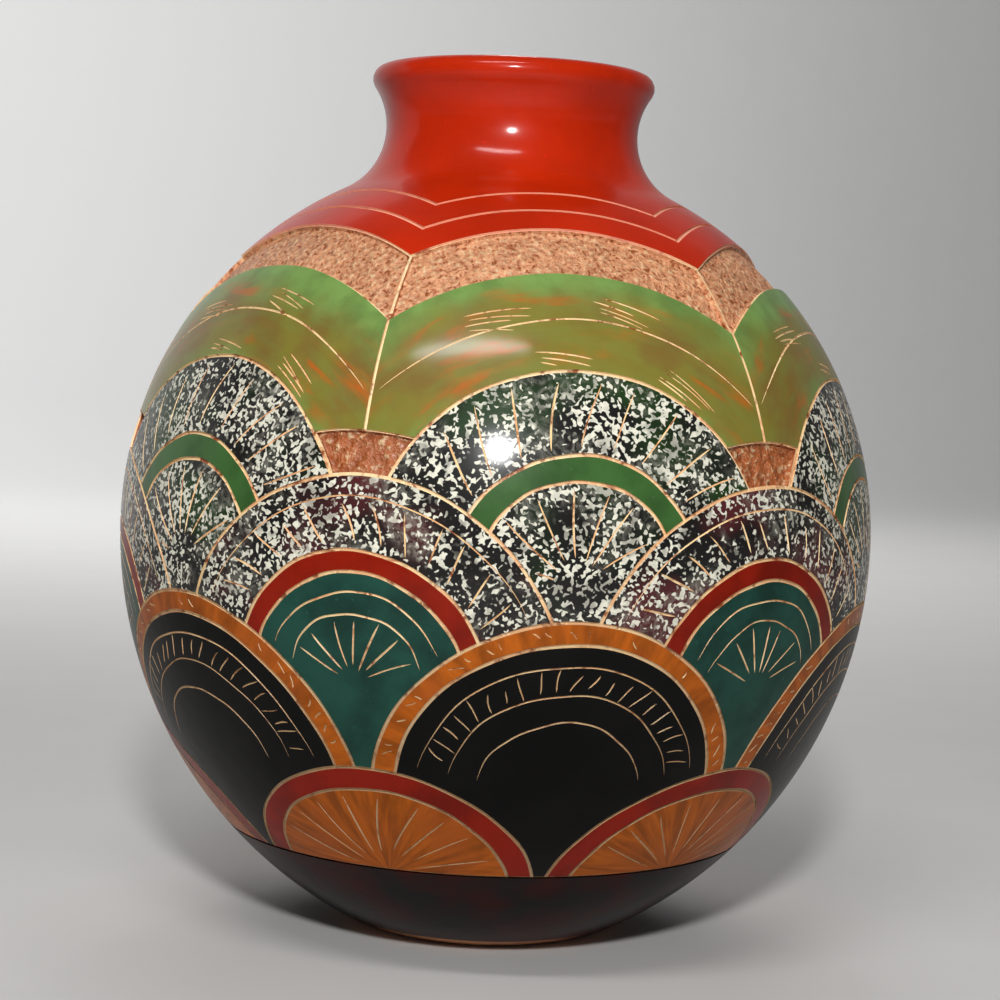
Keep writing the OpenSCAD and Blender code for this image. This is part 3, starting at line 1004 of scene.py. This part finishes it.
def thrown_tree():
    """Turns a line of points, in radius and height, into a wall thrown on the wheel."""
    t = Tree("ThrownWall", {"Points": "Int", "Segments": "Int", "Material": "Material"})
    g = t.given
    around = t.calc("ADD", g["Segments"], 1.0)
    grid = t.node("GeometryNodeMeshGrid", Size_X=1.0, Size_Y=1.0,
                  Vertices_X=around, Vertices_Y=g["Points"])
    index = t.node("GeometryNodeInputIndex").outputs[0]
    row = t.calc("MODULO", index, g["Points"])
    column = t.calc("FLOOR", t.calc("DIVIDE", t.calc("ADD", index, 0.5), g["Points"]))
    angle = t.calc("MULTIPLY", t.calc("DIVIDE", column, g["Segments"]), TURN)
    place = t.node("GeometryNodeInputPosition").outputs[0]
    take = t.node("GeometryNodeSampleIndex", {"data_type": "FLOAT_VECTOR", "domain": "POINT"},
                  Geometry=g["Geometry"], Value=place, Index=row)
    r, _, z = t.parts(take.outputs[0])
    back = t.calc("MULTIPLY", t.calc("COSINE", angle), -1.0)
    spot = t.node("ShaderNodeCombineXYZ", X=t.calc("MULTIPLY", r, t.calc("SINE", angle)),
                  Y=t.calc("MULTIPLY", r, back), Z=z)
    moved = t.node("GeometryNodeSetPosition", Geometry=grid.outputs[0], Position=spot.outputs[0])
    joined = t.node("GeometryNodeMergeByDistance", Geometry=moved.outputs[0], Distance=1e-6)
    t.close(joined.outputs[0])
    return t


def bitten_tree():
    """Presses the bites of a pointed tool into a carved ground."""
    sockets = {"Spacing": "Float", "Depth": "Float", "Seed": "Float", "Material": "Material"}
    t = Tree("BittenGround", sockets)
    g = t.given
    place = t.node("GeometryNodeInputPosition").outputs[0]
    shift = t.calc("ADD", place, g["Seed"], kind="ShaderNodeVectorMath")
    cell = t.node("ShaderNodeTexVoronoi", {"feature": "F1"}, Randomness=0.9,
                  Scale=t.calc("DIVIDE", 1.0, g["Spacing"]), Vector=shift)
    away = t.calc("MULTIPLY", cell.outputs["Distance"], 1.5)
    pit = t.calc("SUBTRACT", 1.0, t.calc("MINIMUM", t.calc("MULTIPLY", away, away), 1.0))
    loose = t.node("GeometryNodeInputNamedAttribute", {"data_type": "FLOAT"}, Name="loose").outputs[0]
    pit = t.calc("MULTIPLY", pit, loose)
    kept = t.node("GeometryNodeStoreNamedAttribute", {"data_type": "FLOAT", "domain": "POINT"},
                  Geometry=g["Geometry"], Name="pit", Value=pit)
    inward = t.calc("MULTIPLY", t.calc("MULTIPLY", pit, g["Depth"]), -1.0)
    push = t.node("ShaderNodeVectorMath", {"operation": "SCALE"},
                  Vector=t.node("GeometryNodeInputNormal").outputs[0], Scale=inward)
    moved = t.node("GeometryNodeSetPosition", Geometry=kept.outputs[0], Offset=push.outputs[0])
    t.close(moved.outputs[0])
    return t


# Pieces


def settle(obj, node, slot):
    """Lets a finished piece stand for its CAD node."""
    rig.ride(obj, "root")
    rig.replaces(obj, node)
    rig.slot(obj, slot)


def layout():
    """Layout at the sizes that the scene holds."""
    scene = bpy.context.scene
    return Layout(scene.vase_body, scene.vase_pattern)


def thrown(profile, material):
    """Mesh of a thrown wall with a given line of points, in millimetres."""
    line = bpy.data.meshes.new("line")
    pts = [(r * MM, 0.0, z * MM) for r, z in profile]
    line.from_pydata(pts, [(i, i + 1) for i in range(len(pts) - 1)], [])
    return thrown_tree().run(line, Points=len(pts), Segments=SIDES, Material=material)


def arc_points(centre, r, a0, a1, step=1.5):
    """Points along an arc, in radius and height."""
    n = max(2, int(abs(a1 - a0) * r / step))
    turn = np.linspace(a0, a1, n + 1)
    return [(centre[0] + r * math.cos(a), centre[1] + r * math.sin(a)) for a in turn]


def with_rings(points, centre, mm):
    """Inside line of the wall, with the shallow rings that the potter's fingers leave."""
    out = []
    for i, (r, z) in enumerate(points):
        edge = min(1.0, 0.25 * i, 0.25 * (len(points) - 1 - i))
        k = edge * mm["ring_depth"] * 0.5 * (1 + math.sin(TURN * z / mm["ring_pitch"]))
        d = math.hypot(r - centre[0], z - centre[1])
        out.append((r + k * (r - centre[0]) / d, z + k * (z - centre[1]) / d))
    return out


def outward(mesh):
    """Turns a closed mesh's faces outwards."""
    bm = bmesh.new()
    bm.from_mesh(mesh)
    bmesh.ops.remove_doubles(bm, verts=bm.verts, dist=MERGE)
    if bm.calc_volume(signed=True) < 0:
        bmesh.ops.reverse_faces(bm, faces=bm.faces)
    bm.to_mesh(mesh)
    bm.free()
    shade(mesh)


class VASE_OT_lower_bowl(Operator):
    """Throws the lower bowl with its floor and foot ring"""

    bl_idname = "vase.lower_bowl"
    bl_label = "Lower bowl"

    def execute(self, context):
        o = layout().o
        mm = o.mm
        c, r = (o.lower_x, o.belly_z), o.lower_r - o.coat
        foot = -math.asin(o.belly_z / r)
        foot_r = o.lower_x + r * math.cos(foot)
        hollow_r, step_r = foot_r - mm["foot_ring_w"], o.belly_r - o.wall / 2
        inner = o.lower_r - o.wall
        floor = -math.asin((o.belly_z - mm["floor_t"]) / inner)
        floor_r = o.lower_x + inner * math.cos(floor)
        line = [(x, mm["foot_hollow"]) for x in np.linspace(0, hollow_r, 8)]
        line += [(hollow_r + 0.4, 0.3), (hollow_r + 0.9, 0.0)]
        line += [(foot_r - 0.8, 0.0), (foot_r - 0.1, 0.25)]
        line += [p for p in arc_points(c, r, foot, 0.0) if p[1] > 0.6]
        line += [(step_r, o.belly_z), (step_r, o.belly_z + mm["tongue_h"])]
        top = math.asin(mm["tongue_h"] / (o.belly_r - o.wall))
        line += arc_points((0.0, o.belly_z), o.belly_r - o.wall, top, 0.0)
        line += with_rings(arc_points(c, inner, 0.0, floor), c, mm)
        for x in np.linspace(floor_r - 2, 0, 24):
            line.append((x, mm["floor_t"] + 0.25 * math.sin(x * 0.9) * min(1.0, x / 8)))
        mesh = thrown(line, finish("bare"))
        outward(mesh)
        mesh.name = "LowerBowl"
        mesh.materials.append(finish("cut"))
        centres = np.empty(len(mesh.polygons) * 3)
        mesh.polygons.foreach_get("center", centres)
        x, y, z = centres.reshape(-1, 3).T
        outside = [o.belly_radius(min(max(h / MM, 1.0), o.belly_z)) - o.coat - 0.5 for h in z]
        skin = (np.hypot(x, y) > np.array(outside) * MM) & (z > context.scene.vase_pattern.foot_bare_z)
        mesh.polygons.foreach_set("material_index", skin.astype(np.int32))
        settle(show("LowerBowl", mesh), "lower_bowl", "fired_clay")
        return {"FINISHED"}


def carved_regions(lay, bay):
    """Carved arch of a bay, and the carved halos on its two sides."""
    o, p = lay.o, lay.p
    az, half_bay = bay * lay.bay, lay.bay / 2
    cut = lay.half - p["ledge_w"]
    outer = lay.scallop(bay, p["scallop_r"] + cut)
    inner = lay.scallop(bay, p["scallop_r"] - p["arch_w"] - cut)
    regions = [Region(o, [outer], [inner], (az, half_bay - lay.half_a), lay.shoulder, step=CARVED_EDGE)]
    for side in (-1, 1):
        middle = az + side * half_bay
        outer = lay.fan(1, middle, p["halo_w"] + cut)
        fans = [lay.fan(1, middle, lay.half)]
        fans += [lay.fan(0, a, lay.half) for a in (az, az + side * lay.bay)]
        regions.append(Region(o, [outer], fans, (middle, half_bay), lay.shoulder, step=CARVED_EDGE))
    return regions


def upper_inside(o, low, high):
    """Line of the upper bowl's seams and inside, from the neck down to the belly."""
    mm = o.mm
    ends = o.along(np.array([low, high]))
    first, last = (ends[:2] - o.coat * ends[2:]).T
    step_r = o.belly_r - o.wall / 2 + mm["lute"]
    neck_step = o.neck_c[0] - math.sqrt((o.neck_r + o.wall / 2) ** 2 - mm["seam_drop"] ** 2)
    seam_top = o.belly_z + mm["lute"] + mm["tongue_h"]
    neck_a, belly_c = o.arcs[1][3], (0.0, o.belly_z)
    neck_in, belly_in = o.neck_r + o.wall, o.belly_r - o.wall
    inside_top = math.pi + math.asin((mm["seam_drop"] - mm["tongue_h"]) / neck_in)
    line = [tuple(last), (neck_step, o.seam_z), (neck_step, o.seam_z + mm["tongue_h"])]
    line += arc_points(o.neck_c, neck_in, inside_top, math.pi + neck_a)
    belly = arc_points(belly_c, belly_in, neck_a, math.asin((seam_top - o.belly_z) / belly_in))
    line += with_rings(belly, belly_c, mm)[1:]
    return line + [(step_r, seam_top), (step_r, o.belly_z + mm["lute"]), tuple(first)]


class VASE_OT_upper_bowl(Operator):
    """Throws the upper bowl and carves the stippled ground into it"""

    bl_idname = "vase.upper_bowl"
    bl_label = "Upper bowl"

    def execute(self, context):
        lay = layout()
        o, mm = lay.o, lay.o.mm
        low, high = o.at_height(o.belly_z + mm["lute"]), o.neck_at(o.seam_z)
        deep = o.coat + mm["carve"]
        verts, faces, index, base = [], [], [], 0
        floors = Ground(), Ground()
        for bay in range(lay.bays):
            carved = carved_regions(lay, bay)
            skin = Skin(Carved(o, carved, (bay * lay.bay, lay.bay / 2), low, high), WALL_MESH)
            verts.append(o.place(skin.phi, skin.s, o.coat))
            faces += (skin.tris + base).tolist()
            index += [0] * len(skin.tris)
            base += len(skin.phi)
            # The halo on the left belongs to the bay before
            for k, (ground, fine) in enumerate(((carved[0], ARCH_MESH), (carved[2], HALO_MESH))):
                skin = Skin(ground, fine)
                n, rim = len(skin.phi), skin.rim()
                verts += [o.place(skin.phi, skin.s, depth) for depth in (o.coat, deep)]
                faces += [[a + base, b + base, b + base + n, a + base + n] for a, b in rim.tolist()]
                index += [1 + k] * len(rim)
                base += 2 * n
                floors[k].add(skin, deep)
        pattern = context.scene.vase_pattern
        tree, seed = bitten_tree(), pattern.seed * 0.37
        bites = [
            (pattern.fine_bite, 0.6 * pattern.bite_d, "arch"),
            (pattern.coarse_bite, pattern.bite_d, "halo"),
        ]
        arches, halos = [
            tree.run(floor.mesh(), Spacing=spacing, Depth=depth, Seed=seed, Material=finish(look))
            for floor, (spacing, depth, look) in zip(floors, bites)
        ]
        inside = thrown(upper_inside(o, low, high), finish("bare"))
        for k, part in enumerate((arches, halos, inside), 1):
            part.polygons.foreach_set("material_index", np.full(len(part.polygons), k, np.int32))
        outside = plain_mesh("skin", np.concatenate(verts), faces, index)
        mesh = bpy.data.meshes.new("UpperBowl")
        merge(mesh, (arches, halos, outside, inside), near=5e-6)
        for name in ("cut", "arch", "halo", "bare"):
            mesh.materials.append(finish(name))
        shade(mesh, hard_edge=math.radians(50))
        settle(show("UpperBowl", mesh), "upper_bowl", "fired_clay")
        return {"FINISHED"}


class VASE_OT_red_collar(Operator):
    """Coats the neck, the lip and the shoulder in red, with strips along the scallops"""

    bl_idname = "vase.red_collar"
    bl_label = "Red collar"

    def execute(self, context):
        lay = layout()
        o, p = lay.o, lay.p
        strips = 2
        edge = p["scallop_r"] + strips * p["scallop_pitch"]
        below = o.at_height(o.belly_z + 60)  # Keeps out the surface below the scallops
        coats = []
        for bay in range(lay.bays):
            around = [lay.scallop(b, edge + lay.half) for b in (bay - 1, bay, bay + 1)]
            region = Region(o, [], around, (bay * lay.bay, lay.bay / 2), below, o.ends[-1])
            coats.append((Skin(region, COAT_MESH, unroll_r=45.0), around[1]))
        settle(coat_object("RedCollar", "red", coats, open_bays=True), "red_collar_slip", "red_slip")
        coats = []
        for k in range(strips):
            r = p["scallop_r"] + k * p["scallop_pitch"]
            for bay in range(lay.bays):
                outer = lay.scallop(bay, r + p["scallop_pitch"] - lay.half)
                region = Region(o, [outer], [lay.scallop(bay, r + lay.half)],
                                (bay * lay.bay, lay.bay / 2), lay.shoulder)
                coats.append((Skin(region, COAT_MESH, unroll_r=60.0), outer))
        settle(coat_object("RedStrips", "red", coats, open_bays=True), "red_scallop_strips", "red_slip")
        return {"FINISHED"}


class VASE_OT_green_ground(Operator):
    """Coats the ground under the carved arches in streaked green and hatches it"""

    bl_idname = "vase.green_ground"
    bl_label = "Green ground"

    def execute(self, context):
        lay = layout()
        o, p = lay.o, lay.p
        coats = []
        for bay in range(lay.bays):
            az = bay * lay.bay
            edge = lay.scallop(bay, p["scallop_r"] - p["arch_w"] - lay.half)
            covers = [lay.fan(0, az, lay.half)]
            covers += [lay.fan(1, az + side * lay.bay / 2, p["halo_w"] + lay.half) for side in (-1, 1)]
            region = Region(o, [edge], covers, (az, lay.bay / 2 - lay.half_a), lay.shoulder)
            rng = lay.hand(1, bay)
            middle = edge.r - 13  # A long line halfway down, with scratches above and below it
            strokes = [lay.arc(region, edge, middle, -0.9, 0.9, rng, width=0.9)]
            for a, up in ((-0.42, 5), (0.1, 6.5), (0.4, -7), (-0.16, -8)):
                strokes += lay.scratches(region, edge, a, middle + up, rng)
            coats.append((Skin(region, COAT_MESH, [s for s in strokes if s]), edge))
        settle(coat_object("GreenGround", "green", coats), "green_ground_slip", "green_slip")
        return {"FINISHED"}


def fan_coat(name, node, slot, look, tier, r_out, r_in, marks=None):
    """Coat of one band of every fan in a tier, with its tool marks."""
    lay = layout()
    coats = []
    for bay in range(lay.bays):
        region = lay.fan_region(tier, bay, r_out, r_in)
        centre = region.inside[0]
        strokes = marks(region, centre, lay.hand(2 + tier, int(10 * r_out), bay)) if marks else []
        coats.append((Skin(region, COAT_MESH, [s for s in strokes if s]), centre))
    settle(coat_object(name, look, coats), node, slot)


class VASE_OT_upper_fans(Operator):
    """Coats the upper fans: sponged rims and hearts with a green stripe between them"""

    bl_idname = "vase.upper_fans"
    bl_label = "Upper fans"

    def execute(self, context):
        lay = layout()
        r, p = lay.tier_r(0), lay.p
        stripe = r - p["upper_rim_w"]
        heart = stripe - p["upper_stripe_w"]

        def rim_marks(region, c, rng):
            return lay.rays(region, c, 1.75, 15, stripe + 0.4, r - 3.0, rng, lean=0.12, width=0.75)

        def heart_marks(region, c, rng):
            return lay.rays(region, c, 1.5, 8, 6.0, heart - 0.4, rng, lean=0.1, width=0.75)

        fan_coat("UpperFanRims", "upper_fan_rims", "sponged_slip", "sponged",
                 0, r, stripe, rim_marks)
        fan_coat("UpperFanStripes", "upper_fan_stripes", "stripe_green_slip", "deep_green",
                 0, stripe, heart)
        fan_coat("UpperFanHearts", "upper_fan_hearts", "sponged_slip", "sponged",
                 0, heart, 0.0, heart_marks)
        return {"FINISHED"}


class VASE_OT_middle_fans(Operator):
    """Coats the middle fans: maroon sponged rims, dark red stripes and teal hearts"""

    bl_idname = "vase.middle_fans"
    bl_label = "Middle fans"

    def execute(self, context):
        lay = layout()
        r, p = lay.tier_r(1), lay.p
        stripe = r - p["middle_rim_w"]
        heart = stripe - p["middle_stripe_w"]

        def rim_marks(region, c, rng):
            marks = [lay.arc(region, c, r - 5.0, -1.6, 1.6, rng, width=0.7)]
            return marks + lay.rays(region, c, 1.6, 17, stripe + 0.4, r - 6.5, rng, lean=-0.1, width=0.75)

        def heart_marks(region, c, rng):
            marks = [lay.arc(region, c, heart - k, -1.5, 1.5, rng, width=0.75) for k in (4.5, 9.5)]
            return marks + lay.rays(region, c, 1.3, 7, 4.0, heart - 11.0, rng, lean=0.05, width=0.75)

        fan_coat("MiddleFanRims", "middle_fan_rims", "maroon_sponged_slip", "maroon",
                 1, r, stripe, rim_marks)
        fan_coat("MiddleFanStripes", "middle_fan_stripes", "dark_red_slip", "dark_red",
                 1, stripe, heart)
        fan_coat("MiddleFanHearts", "middle_fan_hearts", "teal_slip", "teal",
                 1, heart, 0.0, heart_marks)
        return {"FINISHED"}


class VASE_OT_lower_fans(Operator):
    """Coats the lower and the bottom fans and the foot band"""

    bl_idname = "vase.lower_fans"
    bl_label = "Lower fans and foot"

    def execute(self, context):
        lay = layout()
        o, p = lay.o, lay.p
        r2, r3 = lay.tier_r(2), lay.tier_r(3)
        field2, field3 = r2 - p["lower_rim_w"], r3 - p["bottom_rim_w"]

        def rim_marks(region, c, rng):
            return lay.rays(region, c, 1.5, 34, r2 - 1.2, field2 + 1.2, rng, lean=0.05, width=0.6)

        def black_marks(region, c, rng):
            marks = [lay.arc(region, c, field2 - k, -1.4, 1.4, rng, width=0.7) for k in (5.0, 12.0, 19.0)]
            low, high = field2 - 11.0, field2 - 6.0
            return marks + lay.rays(region, c, 1.35, 21, low, high, rng, lean=0.05, width=0.6)

        def amber_marks(region, c, rng):
            return lay.rays(region, c, 1.3, 9, 8.0, field3 - 1.5, rng, lean=0.08, width=0.75)

        fan_coat("LowerFanRims", "lower_fan_rims", "amber_slip", "amber",
                 2, r2, field2, rim_marks)
        fan_coat("LowerFanFields", "lower_fan_fields", "black_slip", "black",
                 2, field2, 0.0, black_marks)
        fan_coat("BottomFanRims", "bottom_fan_rims", "dark_red_slip", "dark_red",
                 3, r3, field3)
        fan_coat("BottomFanFields", "bottom_fan_fields", "amber_slip", "amber",
                 3, field3, 0.0, amber_marks)
        c = (o.lower_x, o.belly_z)
        top = lay.tier_z(3) + p["foot_line_rise"] - lay.half
        ends = [math.asin((z - o.belly_z) / o.lower_r) for z in (p["foot_bare_z"], top)]
        line = arc_points(c, o.lower_r, ends[0], ends[1], 1.0)
        line += arc_points(c, o.lower_r - o.coat_d, ends[1], ends[0], 1.0)
        mesh = thrown(line + line[:1], finish("foot"))
        outward(mesh)
        mesh.name = "FootBand"
        settle(show("FootBand", mesh), "foot_band_slip", "foot_slip")
        return {"FINISHED"}


class VASE_OT_hidden_clay(Operator):
    """Gives the clay that stays under the coats its finish"""

    bl_idname = "vase.hidden_clay"
    bl_label = "Neck and luting"

    def execute(self, context):
        for node in ("neck_collar", "belly_luting", "neck_luting"):
            obj = frame["nodes"][node]
            for slot in obj.material_slots:
                slot.material = finish("bare")
        return {"FINISHED"}


def pale_paper(turn):
    """Paper of the floor and the backdrop, which glows pale to the camera further off, with painted light that makes
    the glow behind strongest on the left.
    """
    m = Mix("Paper")
    m.paint(m.blend(m.noise(0.05, 3.0), (0.60, 0.59, 0.575), (0.56, 0.55, 0.535)))
    x, y, _ = m.parts(m.place)
    right = m.calc("MULTIPLY_ADD", x, math.cos(turn), m.calc("MULTIPLY", y, math.sin(turn)))
    # Painted light: the glow behind is stronger on the left than on the right, as if more light fell from there
    behind = m.calc("MULTIPLY", m.span(y, 0.15, 1.5), m.span(right, -0.9, 0.9, 0.66, 0.2))
    away = m.node("ShaderNodeVectorMath", {"operation": "LENGTH"}, Vector=m.place).outputs["Value"]
    before = m.calc("MULTIPLY", m.span(away, 0.8, 2.4, 0.0, 0.32), m.span(y, 0.5, 0.0))
    ray = m.node("ShaderNodeLightPath").outputs
    seen = m.calc("ADD", ray["Is Camera Ray"], ray["Is Glossy Ray"])
    seen = m.calc("ADD", seen, ray["Is Transmission Ray"])
    glow = m.calc("MULTIPLY", seen, m.calc("ADD", behind, before))
    m.set(Roughness=0.7, Emission_Color=(1.0, 1.0, 1.0), Emission_Strength=glow)
    return m.material


def sweep(material):
    """Floor that curves up into a backdrop."""
    half, back, bend, top = 8.0, 1.6, 0.5, 2.5
    line = [(-half, 0.0), (back, 0.0)]
    for a in np.linspace(0, math.pi / 2, 12)[1:]:
        line.append((back + bend * math.sin(a), bend - bend * math.cos(a)))
    line.append((back + bend, top))
    verts = [(x, y, z) for y, z in line for x in (-half, half)]
    faces = [(2 * i, 2 * i + 1, 2 * i + 3, 2 * i + 2) for i in range(len(line) - 1)]
    mesh = plain_mesh("Floor", verts, faces)
    mesh.materials.append(material)
    mesh.polygons.foreach_set("use_smooth", np.ones(len(faces), bool))
    return show("Floor", mesh)


def lamp(name, place, target, size, power, glint):
    """Soft lamp that faces a point, and shows in the burnished coats or not."""
    light = bpy.data.lights.new(name, "AREA")
    light.shape, light.size, light.size_y, light.energy = "ELLIPSE", *size, power
    obj = show(name, light)
    obj.location = place
    obj.visible_glossy = glint
    obj.rotation_euler = (target - place).to_track_quat("-Z", "Y").to_euler()


# Name, place, target, size, power in watts, and whether the burnished coats show it
LAMPS = [
    ("Overhead", (-0.17, -0.61, 1.05), (-0.17, 0, 0.12), (0.6, 0.085), 3.9, True),
    ("Flash", (0, -0.75, 0.48), (0, 0, 0.11), (0.075, 0.075), 5.0, True),
    ("Rear", (0, 1.0, 1.0), (0, 0, 0.11), (1.1, 1.1), 7.4, False),
    ("RearGlint", (0, 1.0, 0.9), (0, 0, 0.11), (0.1, 0.1), 0.45, True),
]


class VASE_OT_stage(Operator):
    """Sets the floor, the studio light and the camera"""

    bl_idname = "vase.stage"
    bl_label = "Stage"

    def execute(self, context):
        scene = context.scene
        scene.view_settings.view_transform = "Standard"
        world = bpy.data.worlds.new("Studio")
        world.use_nodes = True
        back = world.node_tree.nodes["Background"]
        back.inputs[0].default_value = (0.86, 0.86, 0.87, 1.0)
        back.inputs[1].default_value = 0.1
        scene.world = world
        turn = math.radians(-11.2)
        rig.stage(sweep(pale_paper(turn)))
        aim = Matrix.Rotation(turn, 4, "Z")
        for name, place, target, *rest in LAMPS:
            lamp(name, aim @ Vector(place), aim @ Vector(target), *rest)
        picture, focal, shift, sensor = 1000, 2228.0, 3.2, 36.0
        cam = bpy.data.cameras.new("Camera")
        view = show("Camera", cam)
        cam.sensor_width = sensor
        cam.lens = sensor * focal / picture
        cam.clip_start = 0.01
        cam.shift_x = shift / picture
        distance, height, pitch, roll = 0.6, 0.1545, math.radians(3.93), math.radians(2.36)
        view.matrix_world = (
            aim @ Matrix.Translation((0, -distance, height))
            @ Euler((math.pi / 2 - pitch, 0, 0)).to_matrix().to_4x4() @ Matrix.Rotation(roll, 4, "Z")
        )
        scene.camera = view
        return {"FINISHED"}


class VASE_PT_sidebar(Panel):
    """Lists the sizes, the colours and the pieces"""

    bl_idname = "VASE_PT_sidebar"
    bl_label = "Slip-decorated vase"
    bl_space_type = "VIEW_3D"
    bl_region_type = "UI"
    bl_category = "Vase"

    def draw(self, context):
        for group in (context.scene.vase_body, context.scene.vase_pattern, context.scene.vase_colours):
            box = self.layout.box()
            for name in group.__annotations__:
                box.prop(group, name)
        for op in OPERATORS:
            self.layout.operator(op.bl_idname)


GROUPS = {"vase_body": VaseBody, "vase_pattern": VasePattern, "vase_colours": VaseColours}
OPERATORS = [
    VASE_OT_lower_bowl, VASE_OT_upper_bowl, VASE_OT_red_collar, VASE_OT_green_ground, VASE_OT_upper_fans,
    VASE_OT_middle_fans, VASE_OT_lower_fans, VASE_OT_hidden_clay, VASE_OT_stage,
]


def register():
    for cls in [*GROUPS.values(), *OPERATORS, VASE_PT_sidebar]:
        bpy.utils.register_class(cls)
    for name, cls in GROUPS.items():
        setattr(bpy.types.Scene, name, PointerProperty(type=cls))


def unregister():
    for name in GROUPS:
        delattr(bpy.types.Scene, name)
    for cls in [VASE_PT_sidebar, *reversed(OPERATORS), *reversed(GROUPS.values())]:
        bpy.utils.unregister_class(cls)


def main():
    """Builds the vase and its stage, and writes down the two boxes."""
    register()
    bpy.ops.vase.lower_bowl()
    bpy.ops.vase.upper_bowl()
    bpy.ops.vase.red_collar()
    bpy.ops.vase.green_ground()
    bpy.ops.vase.upper_fans()
    bpy.ops.vase.middle_fans()
    bpy.ops.vase.lower_fans()
    bpy.ops.vase.hidden_clay()
    bpy.ops.vase.stage()
    boxes = {"cad": [list(v) for v in CAD_BOX], "visual": [list(v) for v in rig.bounds()]}
    with open("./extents.json", "w") as f:
        json.dump(boxes, f)


if __name__ == "__main__":
    main()
